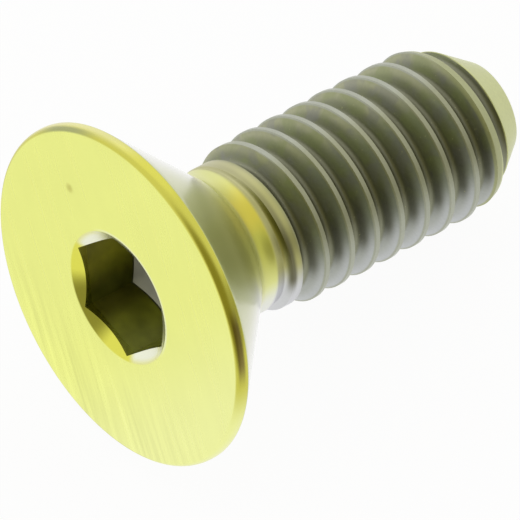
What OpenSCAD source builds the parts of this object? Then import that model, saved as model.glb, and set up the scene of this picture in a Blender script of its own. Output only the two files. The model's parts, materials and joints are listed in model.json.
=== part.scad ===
// Countersunk machine screw with a hexagon socket, lying at rest on a flat floor.
// Millimetres, Z up, floor at Z = 0, tip towards +X. The head's rim and a late crest touch the floor.
// The screw is built on its own axis first, from the flat face at 0 to the tip, and then laid down.

/* [Head] */
// Diameter of the flat face and its straight rim
head_d = 7.84; // [7:0.02:9]
// Height of the straight rim under the face
rim_h = 0.28; // [0.16:0.02:0.5]
// Rounding where the face turns into the rim
rim_round = 0.12; // [0.02:0.01:0.14]
// Included angle of the conical underside
cone_angle = 88; // [82:1:98]
// Fillet where the underside runs into the neck
neck_fillet = 0.75; // [0.2:0.05:1.1]

/* [Socket] */
// Hexagon across its flats
socket_af = 2.52; // [2.2:0.02:2.8]
// Depth of the corners of the hexagon below the face
socket_depth = 1.38; // [1:0.02:1.6]
// How much wider the mouth's chamfer is than the hexagon's corners, on the diameter
mouth_extra = 0.2; // [0.06:0.02:0.4]
// Included angle of the mouth's chamfer
mouth_angle = 120; // [90:5:130]
// Included angle of the punched floor
floor_angle = 120; // [100:5:150]
// Turn of the hexagon about the axis, from a corner pointing down
socket_turn = 35; // [0:1:59]

/* [Thread] */
// Diameter over the crests
thread_d = 3.82; // [3.6:0.02:4.2]
// Distance from one crest to the next
thread_pitch = 0.7; // [0.6:0.05:0.8]
// Included angle between the flanks
thread_angle = 60; // [55:1:65]
// Width of the crest's flat, as a share of the pitch
crest_share = 0.15; // [0.09:0.005:0.18]
// Width of the root's flat, as a share of the pitch
root_share = 0.2; // [0.14:0.01:0.26]
// Turn of the helix about the axis
thread_turn = 111; // [0:1:359]

/* [Shank] */
// Overall length, flat face to tip
screw_length = 10.2; // [8:0.05:16]
// Diameter of the plain neck under the head
neck_d = 3.34; // [3.2:0.02:3.5]
// Plain neck left below the fillet before the thread rises
neck_plain = 0.05; // [0.02:0.01:0.6]
// Length over which the thread grows to its full height
runout = 1.15; // [0.7:0.05:1.8]
// Length before the end cone over which the crests fall a little
tip_taper = 0.45; // [0.3:0.05:0.8]
// How far the crests fall over that length, on the radius
tip_drop = 0.13; // [0.05:0.01:0.2]
// Length of the cone at the very end
tip_cone = 0.95; // [0.6:0.05:1.2]
// Diameter of the flat end
tip_d = 2.2; // [1.6:0.05:2.6]

/* [Hidden] */
// Facets of round surfaces
$fn = 96;
// Helix steps in one turn
steps = 40;
// Arc steps of fillets and roundings
arc = 8;
// How far cutters pass the surfaces they cut
past = 0.05;
// How far the rod stays under the neck's surface where it leaves the neck's flat end
neck_step = 0.015;
// Distance from the neck's flat end to where the crests start to rise
rise_gap = 0.2;
// Length over which the root sinks from the neck to its full depth
sink = 0.8;
// Least distance along the axis between a widened crest and the next root
least_flank = 0.01;
// Turns of the helix hidden inside the neck
hidden_turns = 1.2;
// Turns of the helix past the tip, where they are cut off
spare_turns = 1.5;

// Radii
head_r = head_d / 2;
crest_r = thread_d / 2;
neck_r = neck_d / 2;
tip_r = tip_d / 2;
shoulder_r = crest_r - tip_drop;
corner_r = socket_af / 2 / cos(30);
mouth_r = corner_r + mouth_extra / 2;

// Thread form: the groove is as deep as crest, root and flanks leave room for
flank = tan(thread_angle / 2);
crest_w = crest_share * thread_pitch;
root_w = root_share * thread_pitch;
groove_depth = (thread_pitch - crest_w - root_w) / 2 / flank;
root_r = crest_r - groove_depth;

// Heights along the axis, measured from the face
half_cone = cone_angle / 2;
fillet_r = neck_r + neck_fillet * (1 - cos(half_cone));
cone_end = rim_h + (head_r - fillet_r) / tan(half_cone);
fillet_end = cone_end + neck_fillet * sin(half_cone);
neck_end = fillet_end + neck_plain;
crest_start = neck_end + runout;
tip_shoulder = screw_length - tip_cone;
crest_end = tip_shoulder - tip_taper;

// Height along the axis against the radius the crests reach: out of the neck, and falling at the tip
rise = [[neck_end + rise_gap, neck_r - neck_step], [crest_start, crest_r]];
fall = [[crest_end, crest_r], [tip_shoulder, shoulder_r], [screw_length, tip_r]];

// Helix: it starts hidden inside the neck and is cut off at the tip
crest_z = thread_pitch * thread_turn / 360;
helix_start = neck_end - hidden_turns * thread_pitch;
helix_steps = ceil(steps * ((screw_length - helix_start) / thread_pitch + spare_turns));
helix_angle = 360 * (helix_start - crest_z) / thread_pitch;

// Lying down: the floor touches the rim's lower edge and the crest that lets the screw lie flattest
crest_count = floor((screw_length - crest_z) / thread_pitch);
crests = [for (i = [0 : crest_count]) crest_z + i * thread_pitch];
touches = [for (z = crests, way = [-1, 1]) if (z > crest_start) crest_edge(z, way)];
lie_tilt = min([for (p = touches) atan((head_r - p[0]) / (p[1] - rim_h))]);
lie_height = head_r * cos(lie_tilt) + rim_h * sin(lie_tilt);
lie_front = screw_length * cos(lie_tilt) + tip_r * sin(lie_tilt);
lie_back = rim_round * (1 - cos(lie_tilt)) + (head_r - rim_round) * sin(lie_tilt);

// Half outline of the head and neck, from the face's middle to the neck's flat end
function head_outline() = concat(
    [[0, 0]],
    [for (i = [0 : arc]) let (a = 90 * i / arc)
        [head_r - rim_round * (1 - sin(a)), rim_round * (1 - cos(a))]],
    [[head_r, rim_h]],
    [for (i = [0 : arc]) let (a = half_cone * (1 - i / arc))
        [neck_r + neck_fillet * (1 - cos(a)), fillet_end - neck_fillet * sin(a)]],
    [[neck_r, neck_end], [0, neck_end]]
);

// Radius of the root at a height: it sinks from the neck to its full depth and never passes the crests
function root_at(z) =
    let (sinking = max(0, 1 - (z - neck_end) / sink))
    min(lookup(z, rise), lookup(z, fall), root_r + (neck_r - root_r) * sinking);

// Edge of a crest's flat, before it (way -1) or after it (way 1): it is wider where the crest is lower
function crest_edge(z, way) =
    let (
        reach = lookup(z, rise),
        lost = crest_r - min(reach, lookup(z + way * crest_w / 2, fall)),
        widest = (thread_pitch - root_w) / 2 - least_flank,
        edge = z + way * min(crest_w / 2 + lost * flank, widest)
    )
    [min(reach, lookup(edge, fall)), edge];

// Thread's section at one step of the helix: the crest's flat, then the root's flat behind it
function thread_section(i) =
    let (
        a = helix_angle + 360 * i / steps,
        z = helix_start + thread_pitch * i / steps,
        before = z + (thread_pitch - root_w) / 2,
        after = z + (thread_pitch + root_w) / 2
    )
    [for (p = [crest_edge(z, -1), crest_edge(z, 1), [root_at(before), before], [root_at(after), after]])
        [p[0] * cos(a), p[0] * sin(a), p[1]]];

// Head and neck, turned on one axis: face, rim, cone and fillet
module turned_head() {
    rotate_extrude() polygon(head_outline());
}

// Threaded shank: the section swept along the helix, turn joined to turn, both ends closed on the axis
module threaded_rod() {
    n = helix_steps;
    first = 4 * (n + 1);
    points = concat(
        [for (i = [0 : n]) each thread_section(i)],
        [[0, 0, helix_start + thread_pitch / 2]],
        [[0, 0, helix_start + thread_pitch * (n / steps + 1 / 2)]]
    );
    wall = [for (i = [0 : n - 1], j = [0 : 2]) let (q = 4 * i + j)
        each [[q, q + 1, q + 5], [q, q + 5, q + 4]]];
    seam = [for (i = [0 : n - steps - 1]) let (q = 4 * i + 3, t = 4 * (i + steps))
        each [[q, t, t + 4], [q, t + 4, q + 4]]];
    low_loop = concat([for (i = [0 : steps]) 4 * i], [3, 2, 1]);
    high_loop = concat([for (i = [n - steps : n]) 4 * i + 3], [for (j = [2 : -1 : 0]) 4 * n + j]);
    loop = len(low_loop);
    low_cap = [for (k = [0 : loop - 1]) [first, low_loop[k], low_loop[(k + 1) % loop]]];
    high_cap = [for (k = [0 : loop - 1]) [first + 1, high_loop[(k + 1) % loop], high_loop[k]]];
    intersection() {
        polyhedron(points, concat(wall, seam, low_cap, high_cap));
        cylinder(r = head_r, h = screw_length);
    }
}

// Punched hexagon with a conical floor and a chamfered mouth
module hex_socket() {
    floor_slope = tan(floor_angle / 2);
    floor_h = (corner_r + past) / floor_slope;
    floor_top = socket_depth - past / floor_slope;
    mouth_slope = tan(mouth_angle / 2);
    intersection() {
        rotate(socket_turn)
            translate([0, 0, -past])
            cylinder(r = corner_r, h = past + floor_top + floor_h, $fn = 6);
        union() {
            translate([0, 0, -2 * past]) cylinder(r = corner_r + past, h = 2 * past + floor_top);
            translate([0, 0, floor_top]) cylinder(r1 = corner_r + past, r2 = 0, h = floor_h);
        }
    }
    translate([0, 0, -past])
        cylinder(r1 = mouth_r + past * mouth_slope, r2 = 0, h = past + mouth_r / mouth_slope);
}

// The screw: head and thread in one piece, punched and laid down to rest
module screw() {
    color([0.82, 0.80, 0.38])
        translate([(lie_back - lie_front) / 2, 0, lie_height])
        rotate([0, 90 + lie_tilt, 0])
        difference() {
            union() {
                turned_head();
                threaded_rod();
            }
            hex_socket();
        }
}

screw();
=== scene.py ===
import json
import math

import bmesh
import bpy
import numpy as np
from mathutils import Matrix, Vector


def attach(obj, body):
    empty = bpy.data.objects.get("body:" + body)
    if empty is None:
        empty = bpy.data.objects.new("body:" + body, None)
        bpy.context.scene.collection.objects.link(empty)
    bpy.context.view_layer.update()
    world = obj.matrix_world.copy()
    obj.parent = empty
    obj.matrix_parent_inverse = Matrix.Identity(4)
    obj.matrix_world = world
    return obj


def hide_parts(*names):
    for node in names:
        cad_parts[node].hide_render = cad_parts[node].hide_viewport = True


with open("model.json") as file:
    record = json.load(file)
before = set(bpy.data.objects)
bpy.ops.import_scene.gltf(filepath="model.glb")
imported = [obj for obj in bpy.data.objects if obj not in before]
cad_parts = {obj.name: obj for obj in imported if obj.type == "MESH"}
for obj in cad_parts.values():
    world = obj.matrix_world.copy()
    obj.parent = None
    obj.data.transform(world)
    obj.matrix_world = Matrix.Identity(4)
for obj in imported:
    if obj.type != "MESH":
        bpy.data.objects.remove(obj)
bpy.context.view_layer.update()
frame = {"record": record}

# The screw as it lies: one piece of cold-headed steel, at rest on the rim of its head and one late crest.
# Its own axis runs from the middle of the flat face to the tip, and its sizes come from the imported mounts.
mounts = {mount["name"]: mount for mount in frame["record"]["mounts"]}
axis = Vector(mounts["thread"]["axis"])
face_middle = Vector(mounts["key_socket"]["pos_m"])
across = Vector((0, 1, 0))
lying = Matrix((across.cross(axis), across, axis)).transposed()

# Socket: a hexagon for the key, punched cold into the head. The punch leaves straight walls, sharp corners
# and a conical floor, and its mouth is opened with a shallow chamfer that scallops along the six flats.
columns = 168
socket_turn = math.radians(35)
angles = socket_turn + np.arange(columns) * 2 * math.pi / columns
one_flat = math.radians(60)
half_flats = mounts["key_socket"]["dims"]["r_mm"]
corner_depth = mounts["key_socket"]["dims"]["length_mm"]
corner_r = half_flats / math.cos(one_flat / 2)
mouth_chamfer = 0.1
mouth_r = corner_r + mouth_chamfer
punch_half_angle = math.radians(60)
punch_slope = 1 / math.tan(punch_half_angle)
floor_depth = corner_depth + corner_r * punch_slope
hexagon = half_flats / np.cos((angles - socket_turn) % one_flat - one_flat / 2)


def ring(radius, depth):
    """One ring of points round the axis, in millimetres: both values may change with the angle."""
    return np.stack(np.broadcast_arrays(radius * np.cos(angles), radius * np.sin(angles), depth), axis=1)


turned = []
for share in np.linspace(0, 1, 10):
    turned.append(ring(share * hexagon, floor_depth - share * hexagon * punch_slope))
wall_low = floor_depth - hexagon * punch_slope
wall_top = (mouth_r - hexagon) * punch_slope
for share in np.linspace(0, 1, 10)[1:]:
    turned.append(ring(hexagon, wall_low + (wall_top - wall_low) * share))
for share in np.linspace(0, 1, 4)[1:]:
    turned.append(ring(hexagon + (mouth_r - hexagon) * share, wall_top * (1 - share)))

# Head: a flat face ground in straight strokes, a short straight rim and a wide cone under it that seats
# in the countersink. A fillet carries the cone into a plain neck, as the header's die leaves it.
head_r = mounts["cone_seat"]["dims"]["r_mm"]
rim_round = 0.12
rim_drop = 0.2
rim_h = 0.28
rim_break = 0.05
neck_r = 1.67
neck_fillet = 0.75
half_cone = math.radians(44)
cone_end = rim_h + mounts["cone_seat"]["dims"]["length_mm"]
fillet_end = cone_end + neck_fillet * math.sin(half_cone)
for radius in np.linspace(mouth_r, head_r - rim_round, 12)[1:]:
    turned.append(ring(radius, 0.0))
for bend in np.radians(np.linspace(0, 90, 11))[1:]:
    turned.append(ring(head_r - rim_round * (1 - math.sin(bend)), rim_drop * (1 - math.cos(bend))))
break_start = rim_h - rim_break * math.tan(half_cone / 2)
for bend in np.linspace(0, half_cone, 5):
    radius = head_r - rim_break * (1 - math.cos(bend))
    turned.append(ring(radius, break_start + rim_break * math.sin(bend)))
fillet_r = neck_r + neck_fillet * (1 - math.cos(half_cone))
cone_start = break_start + rim_break * math.sin(half_cone)
cone_start_r = head_r - rim_break * (1 - math.cos(half_cone))
for share in np.linspace(0, 1, 14)[1:]:
    radius = cone_start_r + (fillet_r - cone_start_r) * share
    turned.append(ring(radius, cone_start + (cone_end - cone_start) * share))
for bend in np.linspace(half_cone, 0, 13)[1:]:
    radius = neck_r + neck_fillet * (1 - math.cos(bend))
    turned.append(ring(radius, fillet_end - neck_fillet * math.sin(bend)))

# Thread: a right-hand thread rolled on the shank. It grows out of the neck over the first turns, with flat
# crests and rounded roots. Near the tip a slight taper cuts the crests down, and a cone ends the last turn.
pitch = 0.7
crest_share = 0.15
root_share = 0.2
crest_r = mounts["thread"]["dims"]["r_mm"]
crest_w = crest_share * pitch
root_w = root_share * pitch
flank = math.tan(math.radians(30))
root_r = crest_r - (pitch - crest_w - root_w) / 2 / flank
thread_turn = 111
crest_at_down = pitch * thread_turn / 360
neck_plain = 0.05
rise_gap = 0.2
runout = 1.15
root_sink = 0.8
tip_taper = 0.45
tip_drop = 0.13
tip_cone = 0.95
tip_r = 1.1
thread_start = fillet_end + neck_plain
crest_start = thread_start + runout
crest_end = crest_start + mounts["thread"]["dims"]["length_mm"]
tip_shoulder = crest_end + tip_taper
tip_end = tip_shoulder + tip_cone
shoulder_r = crest_r - tip_drop
tip_slope = (shoulder_r - tip_r) / (tip_end - tip_shoulder)
corner_ease = 0.04
root_ease = 0.05
tip_ease = 0.02


def lower_of(first, second, ease):
    """The lower of two values, with the corner between them rounded off."""
    return (first + second - np.sqrt((first - second) ** 2 + ease ** 2)) / 2


def ramp(depth, start, stop, first, last):
    """A value that goes from first to last between two depths along the axis, with both corners eased."""
    steps = np.linspace(-corner_ease, corner_ease, 5)
    return sum(np.interp(depth + step, [start, stop], [first, last]) for step in steps) / len(steps)


def shank_radius(depth, angle):
    """Radius of the threaded shank at a depth and an angle round the axis."""
    turns = (depth - crest_at_down) / pitch - angle / (2 * math.pi)
    nearest = np.round(turns)
    crest_depth = depth - (turns - nearest) * pitch
    flanks = crest_r - np.maximum((np.abs(turns - nearest) * pitch - crest_w / 2) / flank, 0)
    root = ramp(depth, thread_start, thread_start + root_sink, neck_r, root_r)
    grooved = -lower_of(-flanks, -root, root_ease)
    rising = ramp(crest_depth, thread_start + rise_gap, crest_start, neck_r, crest_r)
    taper = ramp(depth, crest_end, tip_shoulder, crest_r, shoulder_r)
    cone = tip_r + (tip_end - depth) * tip_slope
    return lower_of(np.minimum(np.minimum(grooved, rising), taper), cone, tip_ease)


half_turn = np.array([0, 8, 15, 16, 20, 26, 32, 38, 44, 50, 56, 62, 68, 74, 80, 87, 94]) / 100
one_turn = np.concatenate([half_turn, 2 - np.append(half_turn[1:], 1)[::-1]]) * pitch / 2
first_turn = math.floor((thread_start - crest_at_down) / pitch) - 2
last_turn = math.ceil((tip_end - crest_at_down) / pitch) + 1
all_turns = np.concatenate([pitch * turn + one_turn for turn in range(first_turn, last_turn + 1)])
helix = crest_at_down + all_turns[:, None] + pitch * angles[None, :] / (2 * math.pi)
depths = np.clip(helix, thread_start, tip_end)
radii = shank_radius(depths, angles[None, :])
shank = np.stack([radii * np.cos(angles), radii * np.sin(angles), depths], axis=2)
turned.append(ring(shank_radius(thread_start, angles), thread_start))

# Tip: the flat end of the steel wire that the screw was headed from. It is left where the blank was cut off,
# before the thread was rolled, and closes the shank.
end_radius = shank_radius(tip_end, angles)
end = [ring(end_radius * share, tip_end) for share in (1, 0.97, 0.6, 0.3, 0)]

# Body: socket, head, thread and tip are one skin of steel. Rings are joined round the axis, each turn of the
# thread is joined to the next one, and the true edges of the punch and the cone stay sharp.
merge_within = 2e-8
sharp_from = math.radians(28)


def quads(rows, shift, start):
    """Faces between neighbouring rows, where the last column meets the first one so many rows further on."""
    made = []
    for row in range(rows - 1 - shift):
        for column in range(columns):
            here = start + row * columns + column
            next_point = here + 1 if column < columns - 1 else start + (row + shift) * columns
            made.append((here, next_point, next_point + columns, here + columns))
    return made


points = np.concatenate([np.concatenate(turned), shank.reshape(-1, 3), np.concatenate(end)]) / 1000
points = points @ np.array(lying).T + np.array(face_middle)
shank_first = len(turned) * columns
end_first = shank_first + shank.shape[0] * columns
faces = quads(len(turned), 0, 0)
faces += quads(shank.shape[0], len(one_turn), shank_first)
faces += quads(len(end), 0, end_first)
skin = bpy.data.meshes.new("screw_skin")
skin.from_pydata(points.tolist(), [], faces)
shaping = bmesh.new()
shaping.from_mesh(skin)
bmesh.ops.remove_doubles(shaping, verts=shaping.verts, dist=merge_within)
bmesh.ops.dissolve_degenerate(shaping, edges=shaping.edges, dist=merge_within)
bmesh.ops.recalc_face_normals(shaping, faces=shaping.faces)
for facet in shaping.faces:
    facet.smooth = True
for edge in shaping.edges:
    edge.smooth = edge.calc_face_angle(0) < sharp_from
shaping.to_mesh(skin)
shaping.free()
screw = bpy.data.objects.new("screw_body", skin)
bpy.context.scene.collection.objects.link(screw)
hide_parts("screw")
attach(screw, "root")

# Coat: the steel carries a thin gilt coat, grown over the whole screw, with a clear film on the cone and
# the thread. Its colours go from the face to the tip, by each point's place in the screw's own frame, and
# many of them are painted light, shade and reflection that follow the sides of the lying screw.


class Wire:
    """A socket in a node tree. Operators on wires add Math nodes, and node() adds any other node."""

    def __init__(self, tree, socket=None):
        self.tree = tree
        self.socket = socket

    def node(self, kind, settings=None, inputs=None, out=0):
        made = self.tree.nodes.new(kind)
        for name, value in (settings or {}).items():
            setattr(made, name, value)
        for name, value in (inputs or {}).items():
            if isinstance(value, Wire):
                self.tree.links.new(value.socket, made.inputs[name])
            else:
                made.inputs[name].default_value = value
        return Wire(self.tree, made.outputs[out]) if made.outputs else made

    def maths(self, operation, first, second):
        return self.node("ShaderNodeMath", {"operation": operation}, {0: first, 1: second})

    def __add__(self, other):
        return self.maths("ADD", self, other)

    def __radd__(self, other):
        return self.maths("ADD", other, self)

    def __sub__(self, other):
        return self.maths("SUBTRACT", self, other)

    def __rsub__(self, other):
        return self.maths("SUBTRACT", other, self)

    def __mul__(self, other):
        return self.maths("MULTIPLY", self, other)

    def __rmul__(self, other):
        return self.maths("MULTIPLY", other, self)

    def __truediv__(self, other):
        return self.maths("DIVIDE", self, other)

    def __rtruediv__(self, other):
        return self.maths("DIVIDE", other, self)

    def __pow__(self, other):
        return self.maths("POWER", self, other)

    def __rpow__(self, other):
        return self.maths("POWER", other, self)

    def __or__(self, other):
        return self.maths("MAXIMUM", self, other)

    def __ror__(self, other):
        return self.maths("MAXIMUM", other, self)

    def step(self, low, high):
        """0 below low and 1 above high, with a smooth rise between them."""
        limits = {"Value": self, "From Min": low, "From Max": high}
        return self.node("ShaderNodeMapRange", {"interpolation_type": "SMOOTHSTEP"}, limits)

    def blend(self, first, second):
        """Colour that goes from first to second as this wire goes from 0 to 1."""
        return self.node("ShaderNodeMix", {"data_type": "RGBA"}, {"Factor": self, 6: first, 7: second}, 2)


coat = bpy.data.materials.new("gilt_steel_coat")
coat.use_nodes = True
coat.node_tree.nodes.clear()
bench = Wire(coat.node_tree)
place = bench.node("ShaderNodeTexCoord", out="Object")
millimetres = bench.node(
    "ShaderNodeMapping",
    {"vector_type": "TEXTURE"},
    {"Vector": place, "Location": face_middle, "Rotation": lying.to_euler(), "Scale": (0.001, 0.001, 0.001)},
)
x, y, depth = (bench.node("ShaderNodeSeparateXYZ", None, {"Vector": millimetres}, letter) for letter in "XYZ")
from_axis = (x * x + y * y) ** 0.5


def offset(direction):
    """How far a point lies from the axis in one direction across the screw, in millimetres."""
    return x * direction[0] + y * direction[1]


def noise(scale, detail=2.0, where=millimetres):
    """Cloudy spots over the metal, finer as the scale grows."""
    return bench.node("ShaderNodeTexNoise", None, {"Vector": where, "Scale": scale, "Detail": detail})


top = (-0.878, -0.479)
low_side = (0.479, -0.878)
on_top = offset(top) / from_axis
below_axis = offset(low_side)
to_floor = below_axis / from_axis
to_sky = 0 - to_floor
at_side = to_floor * to_floor

# Coat on the face and the rim: pale greenish gold on the face, made paler towards its lower edge by painted
# light, with a painted highlight along the edge of the socket. The rim is a deeper gold, with painted light
# on its upper and lower sides, painted shade near the face at its upper side and a painted dark reflection
# in a brown line along it.
face_gold = (0.83, 0.87, 0.245, 1)
# painted light: the paler gold of the face's lower part and of the rim's lower side
painted_light_gold = (0.87, 0.905, 0.35, 1)
# painted highlight: near-white on the socket's edge and on the mouth's ends and top
painted_highlight = (0.86, 0.88, 0.70, 1)
rim_gold = (0.62, 0.60, 0.095, 1)
# painted light on the rim's upper side
rim_painted_light = (0.82, 0.80, 0.33, 1)
# painted shade on the rim near the face, at its upper side
rim_painted_shade = (0.40, 0.42, 0.17, 1)
# painted dark reflection: a brown line along the rim
rim_painted_reflection = (0.26, 0.21, 0.055, 1)
paler_way = (0.5, -0.87)
on_face = 1 - depth.step(0.0, 0.03)
off_face = from_axis.step(head_r - rim_round, head_r - rim_round + 0.05)
# painted light: the face pales towards its lower edge
face = offset(paler_way).step(0.5, 3.5).blend(face_gold, painted_light_gold)
# painted highlight along the socket's edge
edge_glint = (1 - from_axis.step(mouth_r + 0.02, mouth_r + 0.07)) * on_top.step(0.2, 0.6)
face = (edge_glint * 0.5).blend(face, painted_highlight)
# painted light on the rim's lower side
rim = to_floor.step(0.72, 0.93).blend(rim_gold, painted_light_gold)
# painted light on the rim's upper side, near the face
rim = (to_sky.step(0.55, 0.85) * depth.step(0.0, 0.2)).blend(rim, rim_painted_light)
# painted shade on the rim's upper side, near the face
rim_shade = to_sky.step(0.80, 0.93) * on_top.step(0.0, 0.25) * (1 - depth.step(0.06, 0.14))
rim = rim_shade.blend(rim, rim_painted_shade)
# painted dark reflection line on the rim
rim_reflection_line = depth.step(0.03, 0.08) * (1 - depth.step(0.16, 0.24))
rim_reflection_line = rim_reflection_line * to_floor.step(0.30, 0.45) * (1 - to_floor.step(0.62, 0.76))
gilt = off_face.blend(face, rim_reflection_line.blend(rim, rim_painted_reflection))

# Coat on the cone and the neck: a duller gold on the cone, paler at its sides by painted light, with a
# painted white sheen where it is seen edge-on. The neck is warm gold and green in clouds on top, with
# painted light at its sides and at its edge by the cone, and a pale painted reflection on its lower side.
cone_gold = (0.50, 0.535, 0.16, 1)
# painted light: paler gold on the cone's sides
cone_painted_light = (0.60, 0.63, 0.32, 1)
# painted sheen: white where the cone is seen edge-on
painted_sheen_white = (0.95, 0.94, 0.98, 1)
neck_gold = (0.62, 0.545, 0.075, 1)
neck_green = (0.50, 0.50, 0.085, 1)
# painted light on the neck's sides and at its edge by the cone
neck_painted_light = (0.74, 0.76, 0.30, 1)
# painted reflection: pale on the neck's lower side
neck_painted_reflection = (0.80, 0.82, 0.72, 1)
past_cone = depth.step(cone_end, cone_end + 0.15)
on_cone = depth.step(rim_h - 0.03, rim_h + 0.01) * (1 - past_cone)
grazing = bench.node("ShaderNodeLayerWeight", None, {"Blend": 0.5}, "Facing")
# painted light on the cone's sides
cone = at_side.step(0.1, 0.7).blend(cone_gold, cone_painted_light)
# painted white sheen at a grazing view
cone = (grazing.step(0.78, 0.93) * 0.6).blend(cone, painted_sheen_white)
clouds = noise(0.7)
# painted light on the neck's sides
neck = on_top.step(0.6, 1.0).blend(neck_painted_light, clouds.step(0.40, 0.60).blend(neck_gold, neck_green))
# painted light at the neck's edge by the cone
neck = (0.7 - depth.step(cone_end + 0.1, cone_end + 0.25) * 0.7).blend(neck, neck_painted_light)
# painted reflection on the neck's lower side
neck = to_floor.step(0.7, 0.95).blend(neck, neck_painted_reflection)
gilt = on_cone.blend(gilt, cone)
gilt = past_cone.blend(gilt, neck)

# Coat on the first ring: tan where the thread starts to rise out of the neck, with painted light on its
# upper side, a grey painted reflection on its lower side and a painted shade line in its groove. The line
# follows the turn, so it slants across the neck.
ring_tan = (0.43, 0.42, 0.17, 1)
# painted light on the ring's upper side
ring_painted_light = (0.53, 0.52, 0.28, 1)
# painted reflection: grey on the ring's lower side
ring_painted_reflection = (0.62, 0.63, 0.63, 1)
# painted shade: the dark line in the ring's groove
ring_painted_shade = (0.125, 0.12, 0.07, 1)
turn_slant = 0.13
past_neck = depth.step(thread_start, thread_start + 0.12)
along_turn = depth - to_floor * turn_slant
in_groove = along_turn.step(thread_start + 0.22, thread_start + 0.30)
in_groove = in_groove * (1 - along_turn.step(thread_start + 0.36, thread_start + 0.48))
# painted reflection on the ring's lower side
first_ring = to_floor.step(0.6, 0.9).blend(ring_tan, ring_painted_reflection)
# painted light on the ring's upper side
first_ring = to_sky.step(0.2, 0.9).blend(first_ring, ring_painted_light)
# painted shade line in the groove
ring_shade = in_groove * (0.55 + to_floor * 0.5) * (1 - to_floor.step(0.76, 0.96))
first_ring = ring_shade.blend(first_ring, ring_painted_shade)
gilt = past_neck.blend(gilt, first_ring)

# Coat on the thread: rolling leaves it thin, rough and a dull olive, in blots of moss and slate. Painted
# shade darkens the roots, the deep flanks and the middle of the lower side, painted light pales the upper
# side and a grey painted reflection the lower side, and the crests are paler from polish and painted
# highlight. It is also pale where the tip is worn.
high_olive = (0.285, 0.31, 0.235, 1)
# painted light on the thread's upper side
upper_painted_light = (0.42, 0.43, 0.27, 1)
# painted reflection: grey on the lower side of the high flanks
low_painted_reflection = (0.56, 0.58, 0.58, 1)
# painted shade deep in the flanks
groove_painted_shade = (0.26, 0.275, 0.17, 1)
# painted shade in the middle of the lower side
shade_olive = (0.17, 0.175, 0.13, 1)
# painted reflection: grey on the lower side of the deep flanks
deep_painted_reflection = (0.48, 0.50, 0.46, 1)
moss = (0.28, 0.33, 0.12, 1)
slate = (0.26, 0.26, 0.27, 1)
# painted shade in the roots
root_painted_shade = (0.19, 0.195, 0.12, 1)
# painted light on the roots at the screw's sides
root_side_painted_light = (0.31, 0.32, 0.22, 1)
# crests paler, partly from polish and partly as a painted highlight
crest_polish_and_highlight = (0.36, 0.37, 0.24, 1)
# painted light on the crests at the screw's sides
crest_side_painted_light = (0.45, 0.47, 0.38, 1)
worn_olive = (0.43, 0.45, 0.24, 1)
pale_end = (0.59, 0.62, 0.29, 1)
on_thread = along_turn.step(thread_start + 0.5, thread_start + 0.72)
on_crest = from_axis.step(crest_r - 0.05, crest_r - 0.02)
in_root = 1 - from_axis.step(root_r + 0.03, root_r + 0.10)
near_tip = depth.step(crest_end, crest_end + 0.1)
on_taper = from_axis.step(shoulder_r - 0.02, shoulder_r + 0.02) * near_tip
on_tip_cone = (from_axis - (tip_end - depth) * tip_slope).step(tip_r - 0.04, tip_r - 0.015)
on_end = on_tip_cone * near_tip | depth.step(tip_end - 0.02, tip_end - 0.01)
blots = noise(1.7)
grit = noise(14.0, 4.0)
# painted light on the upper side of the high flanks
high_flank = to_sky.step(0.15, 0.65).blend(high_olive, upper_painted_light)
# painted reflection on the lower side of the high flanks
high_flank = to_floor.step(0.5, 0.9).blend(high_flank, low_painted_reflection)
# painted shade, deeper in the middle of the lower side
deep_flank = to_floor.step(0.1, 0.5).blend(groove_painted_shade, shade_olive)
# painted reflection on the lower side of the deep flanks
deep_flank = to_floor.step(0.75, 0.97).blend(deep_flank, deep_painted_reflection)
# painted shade: the flanks darken towards the roots
thread = from_axis.step(root_r + 0.145, crest_r - 0.07).blend(deep_flank, high_flank)
mottled = 0.4 - to_floor.step(0.3, 0.7) * 0.4
thread = (blots.step(0.48, 0.62) * mottled).blend(thread, moss)
thread = ((1 - blots.step(0.36, 0.48)) * mottled).blend(thread, slate)
# painted shade in the roots, with painted light at the sides
thread = in_root.blend(thread, at_side.step(0.2, 0.8).blend(root_painted_shade, root_side_painted_light))
# crests: polish and painted highlight, with painted light at the sides
thread = on_crest.blend(thread, at_side.step(0.1, 0.5).blend(crest_polish_and_highlight, crest_side_painted_light))
thread = (on_taper | grit.step(0.70, 0.74) * 0.8).blend(thread, worn_olive)
gilt = on_thread.blend(gilt, thread)
gilt = on_end.blend(gilt, pale_end)

# Coat in the socket: gold on the mouth's chamfer, with painted highlights on its ends and top and painted
# shade on one side. Down the walls it is darker, with painted light and shade that change from side to side,
# and it is grey on the punched floor.
mouth_gold = (0.74, 0.73, 0.10, 1)
# painted shade on one side of the mouth
mouth_painted_shade = (0.27, 0.26, 0.03, 1)
# painted shade in the middle of the walls
wall_painted_shade = (0.24, 0.24, 0.05, 1)
# painted light on one side of the walls
wall_painted_light = (0.66, 0.62, 0.10, 1)
# painted light, green-gold, on the lower wall
wall_green_painted_light = (0.57, 0.62, 0.12, 1)
floor_grey = (0.20, 0.20, 0.13, 1)
mouth_length = (-0.574, 0.819)
shaded_way = (0.82, 0.57)
below_mouth = depth - (mouth_r - from_axis) * punch_slope
past_mouth = below_mouth.step(0.01, 0.05)
at_mouth = (1 - from_axis.step(mouth_r - 0.01, mouth_r + 0.01)) * depth.step(0.004, 0.02)
in_head = 1 - depth.step(floor_depth, floor_depth + 0.1)
in_socket = past_mouth * at_mouth * in_head
on_mouth = (1 - past_mouth) * at_mouth
on_floor = (depth + from_axis * punch_slope).step(floor_depth - 0.06, floor_depth - 0.02)
across_mouth = offset(mouth_length) / from_axis
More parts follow.
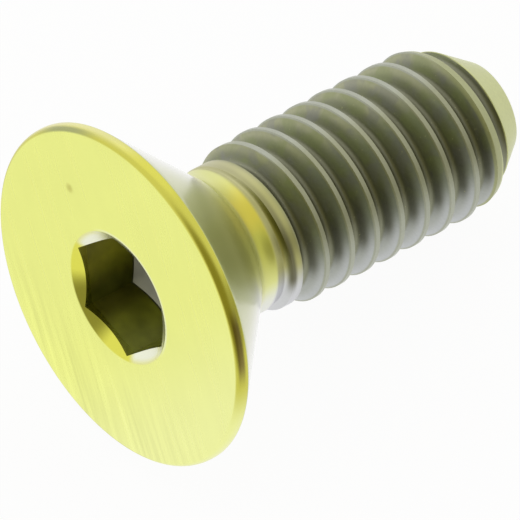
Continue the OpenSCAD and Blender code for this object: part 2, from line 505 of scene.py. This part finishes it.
# painted shade on one side of the mouth's chamfer
mouth = (offset(shaded_way) / from_axis).step(0.80, 0.97).blend(mouth_gold, mouth_painted_shade)
mouth_end = (across_mouth * across_mouth).step(0.78, 0.90)
mouth_end = mouth_end * (1 - from_axis.step(mouth_r - 0.16, mouth_r) * 0.7)
# painted highlight on the mouth's ends and top
mouth = (mouth_end | on_top.step(0.0, 0.4)).blend(mouth, painted_highlight)
# painted light and shade from side to side of the walls
punched = below_axis.step(-1.0, -0.3).blend(wall_painted_light, wall_painted_shade)
punched = below_axis.step(0.0, 0.6).blend(punched, wall_green_painted_light)
punched = on_floor.blend(punched, floor_grey)
gilt = on_mouth.blend(gilt, mouth)
gilt = in_socket.blend(gilt, punched)

# Finish of the coat: straight strokes of the grinder and one small nick on the face, grit on the thread and
# stains in the socket. They change the tone, the roughness and, very little, the height of the metal.
bronze = (0.40, 0.34, 0.05, 1)
nick_middle = (-1.508, 2.055, 0)
stroke_turn = math.radians(-41)
stroke_size = (4, 0.2, 1)
bump_height = 0.00001
stroke_place = bench.node(
    "ShaderNodeMapping",
    {"vector_type": "TEXTURE"},
    {"Vector": millimetres, "Rotation": (0, 0, stroke_turn), "Scale": stroke_size},
)
strokes = noise(1.0, where=stroke_place)
apart = {0: millimetres, 1: nick_middle}
off_nick = bench.node("ShaderNodeVectorMath", {"operation": "DISTANCE"}, apart, "Value")
nick = (1 - off_nick.step(0.02, 0.16)) * on_face
gilt = (nick * 0.5).blend(gilt, bronze)
stroke_depth = on_face * (0.07 + x.step(1.0, 3.2) * 0.45)
stains = (grit - 0.5) * on_thread * 0.2 + (blots - 0.5) * in_socket * 1.2
tone = 1 + (clouds - 0.5) * 0.08 + (strokes - 0.5) * stroke_depth + stains
colour = bench.node("ShaderNodeVectorMath", {"operation": "SCALE"}, {0: gilt, "Scale": tone})
dull = on_thread * 0.20 + on_cone * 0.14 + past_cone * 0.08
roughness = 0.26 + dull + (strokes - 0.5) * on_face * 0.15 + (grit - 0.5) * on_thread * 0.08
height = strokes * on_face * 0.4 + grit * on_thread * 0.4 - nick
bump = bench.node("ShaderNodeBump", None, {"Strength": 0.1, "Distance": bump_height, "Height": height})
metal = bench.node(
    "ShaderNodeBsdfPrincipled",
    None,
    {
        "Base Color": colour,
        "Metallic": 1.0,
        "Roughness": roughness,
        "Specular Tint": (0.97, 0.96, 1.0, 1),
        "Coat Weight": on_cone + on_thread * 0.4,
        "Coat Roughness": 0.15,
        "Normal": bump,
    },
)
bench.node("ShaderNodeOutputMaterial", None, {"Surface": metal})
screw.data.materials.append(coat)

# Stage: a plain sheet of matt white paper under the screw, laid flat on the floor. It reads as white to
# the eye and in the metal, and it keeps the screw's soft shadow.
sheet_half = 0.03
paper_white = (0.95, 0.95, 0.95, 1)
white_share = 0.95
corners = [(-sheet_half, -sheet_half, 0), (sheet_half, -sheet_half, 0)]
corners += [(sheet_half, sheet_half, 0), (-sheet_half, sheet_half, 0)]
sheet = bpy.data.meshes.new("stage_sheet")
sheet.from_pydata(corners, [], [(0, 1, 2, 3)])
stage = bpy.data.objects.new("stage_sheet", sheet)
bpy.context.scene.collection.objects.link(stage)
paper = bpy.data.materials.new("pale_paper")
paper.use_nodes = True
paper.node_tree.nodes.clear()
desk = Wire(paper.node_tree)
seen = desk.node("ShaderNodeLightPath", out="Is Camera Ray")
mirrored = desk.node("ShaderNodeLightPath", out="Is Glossy Ray")
through = desk.node("ShaderNodeLightPath", out="Is Transmission Ray")
shown = seen | mirrored | through
matt = desk.node("ShaderNodeBsdfDiffuse", None, {"Color": paper_white})
white = desk.node("ShaderNodeEmission", None, {"Color": (1, 1, 1, 1), "Strength": 1.0})
surface = desk.node("ShaderNodeMixShader", None, {0: shown * white_share, 1: matt, 2: white})
desk.node("ShaderNodeOutputMaterial", None, {"Surface": surface})
stage.data.materials.append(paper)

# Light: a tent of white cloth all round, with a dim opening above where the lens looks in and a dim gap low
# at the side. One large soft lamp hangs behind the screw and lifts its far side.
opening = Vector((-0.345, -0.743, 0.573))
gap = Vector((0.55, -0.833, 0.06))
cloth_white = (0.99, 0.98, 1.0, 1)
opening_dim = (0.34, 0.31, 0.13, 1)
gap_dim = (0.48, 0.47, 0.44, 1)
tent = bpy.data.worlds.new("white_tent")
bpy.context.scene.world = tent
tent.use_nodes = True
tent.node_tree.nodes.clear()
sky = Wire(tent.node_tree)
toward = sky.node("ShaderNodeTexCoord", out="Generated")
eye = sky.node("ShaderNodeLightPath", out="Is Camera Ray")
near_opening, near_gap = (
    sky.node("ShaderNodeVectorMath", {"operation": "DOT_PRODUCT"}, {0: toward, 1: middle}, "Value")
    for middle in (opening, gap)
)
in_opening = near_opening.step(0.45, 0.88) * (1 - eye)
in_gap = near_gap.step(0.86, 0.98) * (1 - eye)
glow = in_opening.blend(cloth_white, opening_dim)
glow = in_gap.blend(glow, gap_dim)
cloth = sky.node("ShaderNodeBackground", None, {"Color": glow, "Strength": 1.0})
sky.node("ShaderNodeOutputWorld", None, {"Surface": cloth})
softbox = bpy.data.lights.new("softbox", "AREA")
softbox.shape = "DISK"
softbox.size = 0.5
softbox.energy = 0.12
lamp = bpy.data.objects.new("softbox", softbox)
bpy.context.scene.collection.objects.link(lamp)
lamp.location = Vector((0.25, 0.30, 0.35))
lamp.rotation_euler = (-lamp.location).to_track_quat("-Z", "Y").to_euler()

# Camera: it looks down on the lying screw from the head's side, from far away through a long lens, so that
# the face keeps its flat oval and the thread runs away from the eye as in the photo.
azimuth = math.radians(-38.68)
elevation = math.radians(58.21)
aim_right = 3.002
aim_up = 0.808
picture_width = 520
pixels_per_metre = 47450
level_back = Vector((math.sin(azimuth), -math.cos(azimuth), 0))
back = level_back * math.cos(elevation) + Vector((0, 0, math.sin(elevation)))
right = Vector((math.cos(azimuth), math.sin(azimuth), 0))
up = back.cross(right)
aim = face_middle + (aim_right * right + aim_up * up) / 1000
lens = bpy.data.cameras.new("long_lens")
lens.lens = 1650
lens.sensor_width = 36
lens.clip_start = 0.01
lens.clip_end = 10
camera = bpy.data.objects.new("camera", lens)
bpy.context.scene.collection.objects.link(camera)
camera.location = aim + back * lens.lens * picture_width / (pixels_per_metre * lens.sensor_width)
camera.rotation_euler = (-back).to_track_quat("-Z", "Y").to_euler()
bpy.context.scene.camera = camera
bpy.context.scene.view_settings.view_transform = "Standard"
